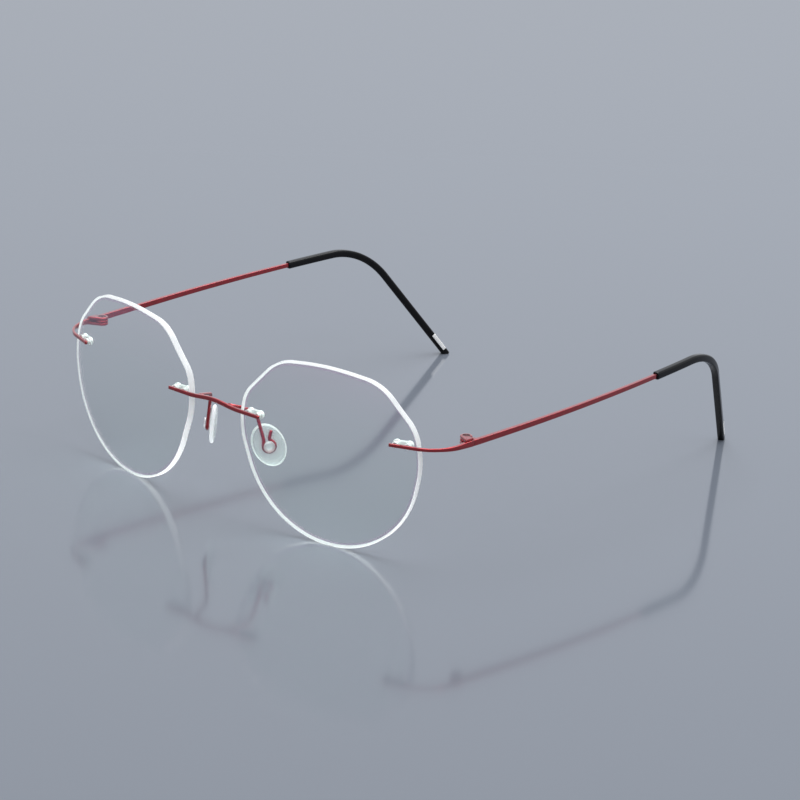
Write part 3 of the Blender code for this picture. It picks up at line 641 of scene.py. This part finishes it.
def screw_way():
    """The drilled and counterbored way for the hinge screw, as a tool to cut with."""
    top = KNUCKLE_THICK / 2 + FIT + LUG_THICK
    floor = top - SCREW_HEAD_TALL - FIT
    hole, recess = SCREW_RADIUS + FIT, SCREW_HEAD_RADIUS + FIT
    rings = turned_rings(HINGE, UP, (hole, hole, recess, recess), (-2 * top, floor, floor, 2 * top), 48)
    return solid("screw_way", rings, (red_lacquer,))


def put_on_side(target, side):
    """Mirrors a piece that was made on the left, and turns its faces back to outwards."""
    if side < 0:
        target.data.transform(Matrix.Scale(-1, 4, (1, 0, 0)))
        target.data.flip_normals()


def end_piece(side, name):
    """The strip grows between two shares of its length. Pins and lugs are joined on, and the lugs drilled."""
    reach = HOLE_SPACING / 2 + STRIP_FROM_HOLE
    inner = strip_middle(1, TEMPLE_SIDE_MOUNT, -reach)
    outward = unit(strip_middle(1, TEMPLE_SIDE_MOUNT, reach) - inner)
    corner = inner + outward * ((STRIP_X - inner[0]) / outward[0])
    seam = np.array((STRIP_X, HINGE[1] - FIT, STRIP_Z))
    path = rounded_path([inner, corner, seam], (0, END_PIECE_BEND, 0), steps=40)
    shares = np.array((0, GROWTH_START, GROWTH_START + GROWTH_SHARE, 1))
    thick = np.array((STRIP_THICK, STRIP_THICK, STRIP_AT_HINGE_THICK, STRIP_AT_HINGE_THICK))
    tall = np.array((STRIP_TALL, STRIP_TALL, STRIP_AT_HINGE_TALL, STRIP_AT_HINGE_TALL))
    rings = carried(path, (shares, thick), (shares, tall), STRIP_CORNER, end_round=STRIP_END_ROUND)
    made = solid(name, rings, (red_lacquer,))
    add_pins(made, 1, TEMPLE_SIDE_MOUNT)
    for way in (-1, 1):
        near = HINGE[2] + way * (KNUCKLE_THICK / 2 + FIT)
        low, high = sorted((near, near + way * LUG_THICK))
        carve(made, solid("lug", plate(lug_outline(-1), low, high, LUG_EDGE), (red_lacquer,)), "UNION")
    carve(made, screw_way(), "DIFFERENCE")
    put_on_side(made, side)
    crisp(made)
    return made


for word, side in SIDES:
    made = end_piece(side, word + "_end_piece_formed")
    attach(made, "front")
    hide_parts(word + "_end_piece")

# ---------------------------------------------------------------- Hinge screws
# A slotted cheese-head screw of steel, 1 mm thick, turned and rolled, and lacquered with the frame. It is
# screwed down through the lugs from above until its head lies in the upper lug.

SCREW_SLOT_WIDE = 0.00028
SCREW_SLOT_DEEP = 0.00026
SCREW_SLOT_TURN = 0.5  # radians from the X axis
SCREW_SLOT_CORNER = 0.00002
SCREW_CROWN = 0.0001
SCREW_POINT_LENGTH = 0.0001
SCREW_POINT_SHARE = 0.8

# Lacquered steel, darker than the frame: its colour and gloss vary in spots 0.1 mm wide.
screw_steel, tree, spot = new_material("lacquered_screw_steel")
screw_speckle = add_node(tree, "TexNoise", {"Vector": spot, "Scale": 9000.0, "Detail": 2.0}).outputs["Fac"]
speckled_gloss = add_node(tree, "MapRange", {"Value": screw_speckle, "To Min": 0.22, "To Max": 0.40}).outputs["Result"]
speckled_dark_reds = add_node(tree, "Mix", {0: screw_speckle, 6: colour("3A1013"), 7: colour("6B2226")}, data_type="RGBA")
steel = add_node(tree, "BsdfPrincipled", {
    "Base Color": speckled_dark_reds.outputs[2], "Metallic": 1.0, "Roughness": speckled_gloss, "Coat Weight": 0.4,
})
add_node(tree, "OutputMaterial", {"Surface": steel.outputs["BSDF"]})


def screw(side, name):
    """A profile turned about the hinge: shank, head and a crown that falls off by the square of the radius's
    share, with a bar cut across it as the slot."""
    top = KNUCKLE_THICK / 2 + FIT + LUG_THICK
    neck = top - SCREW_HEAD_TALL
    crown = np.linspace(1, 0.15, 6)
    radii = np.concatenate([
        (SCREW_RADIUS * SCREW_POINT_SHARE, SCREW_RADIUS, SCREW_RADIUS, SCREW_HEAD_RADIUS),
        SCREW_HEAD_RADIUS * crown,
    ])
    rise = top - SCREW_CROWN * crown ** 2
    heights = np.concatenate([(-top, -top + SCREW_POINT_LENGTH, neck, neck), rise])
    centre = HINGE * np.array((side, 1, 1))
    made = solid(name, turned_rings(centre, UP, radii, heights, 48), (screw_steel,))
    turn = np.array((math.cos(SCREW_SLOT_TURN), math.sin(SCREW_SLOT_TURN) * side, 0))
    along = turn * SCREW_HEAD_RADIUS * 1.5
    level = np.array((0, 0, top))
    ends = np.stack([centre + level - along, centre + level + along])
    wide, tall = even(SCREW_SLOT_WIDE), even(2 * SCREW_SLOT_DEEP)
    slot_bar = carried(ends, wide, tall, SCREW_SLOT_CORNER, end_round=SCREW_SLOT_CORNER)
    carve(made, solid("slot_bar", slot_bar, (screw_steel,)), "DIFFERENCE")
    crisp(made)
    return made


for word, side in SIDES:
    made = screw(side, word + "_hinge_screw_slotted")
    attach(made, "front")
    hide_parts(word + "_hinge_screw")

# ---------------------------------------------------------------- Temples
# A strip of spring metal with a slight outward bow, rolled so that it is lower and thinner to the back,
# where it ends inside the tip. Its knuckle is brazed on, and it is lacquered as the front is.

BOW_X, BOW_Y = 0.0701, -0.0198
BOW_CURVE = 0.9
HINGE_BLEND = 0.010
TEMPLE_SLOPE = 0.022
TEMPLE_END_TALL = 0.0011
TEMPLE_END_THICK = 0.00095
TEMPLE_RING_SPACING = 0.0007
TANG_LENGTH = 0.016
TIP_START_Y = 0.0221


def temple_line(y):
    """The temple's centre line ahead of its ear bend: x falls off by the square of the distance from the
    widest place, and z rises evenly."""
    x = BOW_X - BOW_CURVE * (y - BOW_Y) ** 2
    return np.stack([x, y, STRIP_Z + TEMPLE_SLOPE * (y - HINGE[1])], axis=-1)


def temple_path(start, end, count=80):
    """Part of the centre line, drawn to the end piece's line over the first stretch behind the hinge."""
    y = np.linspace(start, end, count)
    path = temple_line(y)
    near = np.maximum(0, 1 - (y - HINGE[1]) / HINGE_BLEND)
    path[:, 0] += (STRIP_X - temple_line(HINGE[1:2])[0, 0]) * near
    return path


def temple(side, name):
    """The strip tapers evenly along its whole length. The knuckle is joined to it and then drilled."""
    path = temple_path(HINGE[1] + FIT, TIP_START_Y + TANG_LENGTH)
    thick = (0, 1), (STRIP_AT_HINGE_THICK, TEMPLE_END_THICK)
    tall = (0, 1), (STRIP_AT_HINGE_TALL, TEMPLE_END_TALL)
    rings = carried(path, thick, tall, STRIP_CORNER, end_round=STRIP_END_ROUND, spacing=TEMPLE_RING_SPACING)
    made = solid(name, rings, (red_lacquer,))
    low, high = HINGE[2] - KNUCKLE_THICK / 2, HINGE[2] + KNUCKLE_THICK / 2
    carve(made, solid("knuckle", plate(lug_outline(1), low, high, LUG_EDGE), (red_lacquer,)), "UNION")
    carve(made, screw_way(), "DIFFERENCE")
    put_on_side(made, side)
    crisp(made)
    return made


for word, side in SIDES:
    made = temple(side, word + "_temple_strip")
    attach(made, word + "_temple_arm")
    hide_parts(word + "_temple")

# ---------------------------------------------------------------- Temple tips
# Black moulded plastic over the temple's end, a rounded square, bent down behind the ear after it is warmed.
# A bright metal inlay is pressed into a notch across the rear, just above the end that rests on the table.

EAR_BEND_Y = 0.0505
EAR_BEND_RADIUS = 0.022
EAR_BEND_LEAD = 0.014
TIP_END = np.array((0.0524, 0.0745, 0.0))
TIP_THICK = 0.0019
TIP_TALL = 0.0021
TIP_CORNER = 0.0005
TIP_END_ROUND = 0.00035
TIP_MOUTH = 0.001  # the pocket for the temple starts this far ahead of the tip, so that it is open
FOOT_SINK = 0.0004
INLAY_LENGTH = 0.006
INLAY_DEEP = 0.0011
INLAY_FROM_END = 0.0046
INLAY_EDGE = 0.00012
NOTCH_EDGE = 0.00004

# Black ABS, gloss moulded: a deep black with a clean soft reflection, and the faint ripple of the mould,
# about 2 mm from crest to crest.
black_abs, tree, spot = new_material("gloss_black_abs")
ripple = add_node(tree, "TexNoise", {"Vector": spot, "Scale": 500.0, "Detail": 2.0}).outputs["Fac"]
sheen = add_node(tree, "MapRange", {"Value": ripple, "To Min": 0.12, "To Max": 0.18}).outputs["Result"]
form = add_node(tree, "Bump", {"Height": ripple, "Strength": 0.06, "Distance": 0.00005}).outputs["Normal"]
blacks = add_node(tree, "Mix", {0: ripple, 6: colour("020203"), 7: colour("060607")}, data_type="RGBA")
abs_face = add_node(tree, "BsdfPrincipled", {
    "Base Color": blacks.outputs[2], "Roughness": sheen, "IOR": 1.42, "Specular IOR Level": 0.3,
    "Normal": form,
})
add_node(tree, "OutputMaterial", {"Surface": abs_face.outputs["BSDF"]})

# Nickel-plated brass, bead-blasted to a fine satin, with a grain of 0.1 mm.
bright_nickel, tree, spot = new_material("bright_nickel_plate")
grain = add_node(tree, "TexNoise", {"Vector": spot, "Scale": 8000.0, "Detail": 2.0}).outputs["Fac"]
blasted = add_node(tree, "MapRange", {"Value": grain, "To Min": 0.34, "To Max": 0.48}).outputs["Result"]
plating = add_node(tree, "BsdfPrincipled", {
    "Base Color": colour("FEFCF8"), "Metallic": 0.6, "Roughness": blasted,
})
add_node(tree, "OutputMaterial", {"Surface": plating.outputs["BSDF"]})


def tip_path():
    """On along the temple, round the ear bend and down to a little under the table."""
    corner = temple_line(np.array(EAR_BEND_Y))
    foot = TIP_END + unit(TIP_END - corner) * FOOT_SINK
    start = temple_line(np.array(EAR_BEND_Y - EAR_BEND_LEAD))
    straight = temple_line(np.linspace(TIP_START_Y, start[1], 20))[:-1]
    return np.concatenate([straight, rounded_path([start, corner, foot], (0, EAR_BEND_RADIUS, 0), steps=48)])


def inlay_bar(grow):
    """The inlay as a rounded bar, or with grow the larger notch that it sits in."""
    path = tip_path()
    along = unit(path[-1] - path[-2])
    across = unit(np.cross(along, UP))
    upward = np.cross(across, along)
    floor = TIP_TALL / 2 - INLAY_DEEP - grow
    top = TIP_TALL if grow else TIP_TALL / 2
    centre = TIP_END - along * INLAY_FROM_END + upward * (floor + top) / 2
    half = along * (INLAY_LENGTH / 2 + grow)
    edge = NOTCH_EDGE if grow else INLAY_EDGE
    ends = np.stack([centre - half, centre + half])
    wide = 2 * TIP_THICK if grow else TIP_THICK
    return carried(ends, even(wide), even(top - floor), edge, end_round=edge)


def tip(side, name):
    """A rounded square along the tip's path, pressed flat where it would pass under the table. The pocket for
    the tapering temple is cut to its largest size inside the tip, and the notch to the inlay's."""
    thick, tall = even(TIP_THICK), even(TIP_TALL)
    rings = carried(tip_path(), thick, tall, TIP_CORNER, end_round=TIP_END_ROUND, arc_points=8)
    rings[..., 2] = np.maximum(rings[..., 2], 0)
    made = solid(name, rings, (black_abs,))
    path = temple_path(TIP_START_Y - TIP_MOUTH, TIP_START_Y + TANG_LENGTH + 2 * FIT)
    thick, tall = even(STRIP_AT_HINGE_THICK + 2 * FIT), even(TEMPLE_END_TALL + 6 * FIT)
    carve(made, solid("tang_pocket", carried(path, thick, tall, STRIP_CORNER), (black_abs,)), "DIFFERENCE")
    carve(made, solid("inlay_pocket", inlay_bar(FIT), (black_abs,)), "DIFFERENCE")
    put_on_side(made, side)
    crisp(made)
    return made


def inlay(side, name):
    """The rounded bar that fills the notch."""
    made = solid(name, inlay_bar(0), (bright_nickel,))
    put_on_side(made, side)
    crisp(made)
    return made


for word, side in SIDES:
    made = tip(side, word + "_temple_tip_moulded")
    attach(made, word + "_temple_arm")
    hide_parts(word + "_temple_tip")
    made = inlay(side, word + "_tip_inlay_plate")
    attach(made, word + "_temple_arm")
    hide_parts(word + "_tip_inlay")

# ---------------------------------------------------------------- Pad arms
# A wire of the same metal, 0.9 mm thick, brazed behind the bridge beside each lens. It turns back and down
# behind the lens and ends in an open hook round the pad's stud. It is lacquered with the bridge.

PAD_CENTRE = np.array([j["pos_m"] for j in frame["joints"] if j["name"] == "left_pad_swivel"][0])
PAD_LATERAL = unit(np.array([j["axis"] for j in frame["joints"] if j["name"] == "left_pad_swivel"][0]))
PAD_LENGTHWISE = unit(np.array((-0.34, -0.30, 0.89)))
PAD_HALF_THICK = 0.00095
STUD_RADIUS = 0.001
WIRE_RADIUS = 0.00045
WIRE_CORNER = 0.97 * WIRE_RADIUS
WIRE_END_ROUND = 0.00018
WIRE_RING_SPACING = 0.00025
ARM_ROOT_X = 0.0046
ARM_ROOT_RUN = 0.0015
ARM_KINK = (0.0088, -0.0674, 0.0293)
ARM_RADII = (0.0, 0.001, 0.0011)
ARM_FOOT_BEND = 0.004
HOOK_OPENING = math.radians(120)  # part of the hook's ring that is left open at the top
HOOK_CORNERS = 3
HOOK_SHARE = 0.999  # keeps the arcs of the hook's ring from meeting in one point
LEG_NECK = 0.0015
FREE_NECK = 0.0011
FREE_BEND = 0.0007
FREE_END = (0.0023, 0.0036)
HOOK_LEVEL = PAD_HALF_THICK + FIT + WIRE_RADIUS


def on_pad(a, b, c):
    """A place on the left pad: a to the back across it, b up along it and c out towards the lens."""
    across = unit(np.cross(PAD_LENGTHWISE, PAD_LATERAL))
    across = across * np.sign(across[1])
    a, b, c = (np.asarray(v, float)[..., None] for v in (a, b, c))
    return PAD_CENTRE + across * a + PAD_LENGTHWISE * b + PAD_LATERAL * c


def hook_corners():
    """The hook's corners on the pad, with their radii: the leg's neck, three corners round the stud, the
    free end's neck and the free end. The corners lie at radius over the cosine of half their turn, and each
    neck on the tangent where the ring opens."""
    half = STUD_RADIUS + FIT + WIRE_RADIUS
    sweep = (math.tau - HOOK_OPENING) / HOOK_CORNERS
    angle = (math.pi + HOOK_OPENING) / 2 + sweep * (np.arange(HOOK_CORNERS) + 0.5)
    reach = half / math.cos(sweep / 2)
    ring = np.stack([reach * np.cos(angle), reach * np.sin(angle)], axis=1)
    sine, cosine = math.sin(HOOK_OPENING / 2), math.cos(HOOK_OPENING / 2)
    leg, free = (
        (way * (half * sine - run * cosine), half * cosine + run * sine)
        for way, run in ((-1, LEG_NECK), (1, FREE_NECK))
    )
    flat = np.concatenate([[leg], ring, [free, FREE_END]])
    radii = (ARM_FOOT_BEND, *(half * HOOK_SHARE,) * HOOK_CORNERS, FREE_BEND, 0.0)
    return on_pad(flat[:, 0], flat[:, 1], HOOK_LEVEL + 0 * flat[:, 0]), radii


def pad_arm(side, name):
    """The wire along the bridge, back and down behind the lens, and round the stud."""
    root = bridge_line(np.array(ARM_ROOT_X)) + np.array((0, STRIP_THICK / 2 + FIT + WIRE_RADIUS, 0))
    arm = np.stack([root, root + np.array((ARM_ROOT_RUN, 0, 0)), np.array(ARM_KINK)])
    hook, hook_radii = hook_corners()
    path = rounded_path(np.concatenate([arm, hook]), ARM_RADII + hook_radii, steps=16)
    size = even(2 * WIRE_RADIUS)
    rings = carried(
        path, size, size, WIRE_CORNER, PAD_LATERAL, end_round=WIRE_END_ROUND, spacing=WIRE_RING_SPACING,
    )
    made = solid(name, rings, (red_lacquer,))
    put_on_side(made, side)
    crisp(made, 50)
    return made


for word, side in SIDES:
    made = pad_arm(side, word + "_pad_arm_wire")
    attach(made, "front")
    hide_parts(word + "_pad_arm")

# ---------------------------------------------------------------- Nose pads
# Soft clear silicone ovals, moulded round a hard clear core. The face to the nose is domed, the back is
# dished inside a raised rim, and the core's stud stands out of it with a disc over the arm's hook.

PAD_HALF_LONG = 0.006
PAD_HALF_WIDE = 0.00425
PAD_DISH = 0.00038
DISH_SHARE = 0.80
# Beyond this share of the oval the pad takes the milky rim material, a painted highlight.
RIM_HIGHLIGHT_SHARE = 0.89
PAD_POLE_ANGLE = 0.004
PAD_CAP_ANGLE = 0.5
PAD_SIDE_ANGLE = 0.6
STUD_SEAT = 0.0009
STUD_CHAMFER = 0.00005
STUD_CHAMFER_SHARE = 0.9
DISC_RADIUS = 0.0015
DISC_THICK = 0.0005
DISC_EDGE = 0.00018
DISC_DISH = 0.00012
DISC_DISH_RADII = (0.0012, 0.0010, 0.0003)

# Clear silicone rubber, index 1.41: soft gloss, a trace of white haze in the mass.
silicone, tree, spot = new_material("clear_silicone_rubber")
mist = add_node(tree, "TexNoise", {"Vector": spot, "Scale": 900.0, "Detail": 3.0}).outputs["Fac"]
soft = add_node(tree, "MapRange", {"Value": mist, "To Min": 0.10, "To Max": 0.22}).outputs["Result"]
dimple = add_node(tree, "Bump", {"Height": mist, "Strength": 0.10, "Distance": 0.00004}).outputs["Normal"]
gel = add_node(tree, "BsdfPrincipled", {
    "Base Color": colour("F8FCFB"), "Roughness": soft, "IOR": 1.41, "Transmission Weight": 0.76,
    "Normal": dimple,
})
pass_lamps(tree, gel.outputs["BSDF"], "DCE0E0")

# The same silicone in the thick rim, made milky white as a painted highlight: it stands for the bright ring
# of light that the clear rim shows.
rim_highlight_silicone, tree, spot = new_material("milky_silicone_rim")
mist = add_node(tree, "TexNoise", {"Vector": spot, "Scale": 900.0, "Detail": 3.0}).outputs["Fac"]
soft = add_node(tree, "MapRange", {"Value": mist, "To Min": 0.16, "To Max": 0.28}).outputs["Result"]
rim_face = add_node(tree, "BsdfPrincipled", {
    "Base Color": colour("FAFCFD"), "Roughness": soft, "IOR": 1.41, "Transmission Weight": 0.15,
})
rim_highlight_translucency = add_node(tree, "BsdfTranslucent", {"Color": colour("FBFDFD")})
rim_mix = add_node(tree, "MixShader", {0: 0.5, 1: rim_face.outputs["BSDF"], 2: rim_highlight_translucency.outputs["BSDF"]})
pass_lamps(tree, rim_mix.outputs["Shader"], "DCE0E0")

# Clear polycarbonate core, index 1.58: a hard polished moulding with crisp bright edges.
core_plastic, tree, spot = new_material("clear_polycarbonate_core")
flow = add_node(tree, "TexNoise", {"Vector": spot, "Scale": 1500.0, "Detail": 2.0}).outputs["Fac"]
polish = add_node(tree, "MapRange", {"Value": flow, "To Min": 0.03, "To Max": 0.10}).outputs["Result"]
hard = add_node(tree, "BsdfPrincipled", {
    "Base Color": colour("FBFCFD"), "Roughness": polish, "IOR": 1.58, "Transmission Weight": 0.75,
})
pass_lamps(tree, hard.outputs["BSDF"], "D4D8D8")


def pad(side, name):
    """Ring by ring, the oval's share is the sine of an angle to the power 0.5 and the height is minus its
    cosine times the half thickness. On the back, inside the rim, the height is less by the dish's depth
    times the square of 1 less the squared share over the rim's share."""
    cap = np.linspace(PAD_POLE_ANGLE, PAD_CAP_ANGLE, 10)
    belt = np.linspace(PAD_SIDE_ANGLE, math.pi - PAD_SIDE_ANGLE, 26)
    angle = np.concatenate([cap, belt, math.pi - cap[::-1]])
    share = np.sin(angle) ** 0.5
    height = -np.cos(angle) * PAD_HALF_THICK
    inside = np.maximum(0, 1 - (share / DISH_SHARE) ** 2) ** 2
    height -= np.where(angle > math.pi / 2, PAD_DISH * inside, 0)
    turn = np.linspace(0, math.tau, 72, endpoint=False)
    a = PAD_HALF_WIDE * share[:, None] * np.cos(turn)
    b = PAD_HALF_LONG * share[:, None] * np.sin(turn)
    # The outermost rings take the milky rim material, a painted highlight of the bright edge.
    kinds = (np.minimum(share[1:], share[:-1]) > RIM_HIGHLIGHT_SHARE).astype(int)
    rings = on_pad(a, b, height[:, None] + 0 * a)
    made = solid(name, rings, (silicone, rim_highlight_silicone), quad_finish=kinds)
    seat = STUD_RADIUS + FIT
    heights = (PAD_HALF_THICK - STUD_SEAT - FIT, 2 * PAD_HALF_THICK)
    pocket = turned_rings(PAD_CENTRE, PAD_LATERAL, (seat, seat), heights)
    carve(made, solid("seat", pocket, (silicone,)), "DIFFERENCE")
    put_on_side(made, side)
    crisp(made, 45)
    return made


def stud(side, name):
    """A turned profile: shank, and a disc whose edge is round and whose outer face is dished in the
    middle."""
    seat = PAD_HALF_THICK - STUD_SEAT
    disc = HOOK_LEVEL + WIRE_RADIUS + FIT
    face = disc + DISC_THICK
    angle = np.linspace(0, math.pi / 2, 5)
    radii = np.concatenate([
        (STUD_RADIUS * STUD_CHAMFER_SHARE, STUD_RADIUS, STUD_RADIUS),
        DISC_RADIUS - DISC_EDGE * (1 - np.sin(angle)),
        DISC_RADIUS - DISC_EDGE * (1 - np.cos(angle)),
        DISC_DISH_RADII,
    ])
    heights = np.concatenate([
        (seat, seat + STUD_CHAMFER, disc),
        disc + DISC_EDGE * (1 - np.cos(angle)),
        face - DISC_EDGE + DISC_EDGE * np.sin(angle),
        (face, face - DISC_DISH, face - DISC_DISH),
    ])
    made = solid(name, turned_rings(PAD_CENTRE, PAD_LATERAL, radii, heights, 56), (core_plastic,))
    put_on_side(made, side)
    crisp(made, 40)
    return made


for word, side in SIDES:
    made = pad(side, word + "_nose_pad_moulded")
    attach(made, word + "_pad_unit")
    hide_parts(word + "_nose_pad")
    made = stud(side, word + "_pad_stud_turned")
    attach(made, word + "_pad_unit")
    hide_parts(word + "_pad_stud")
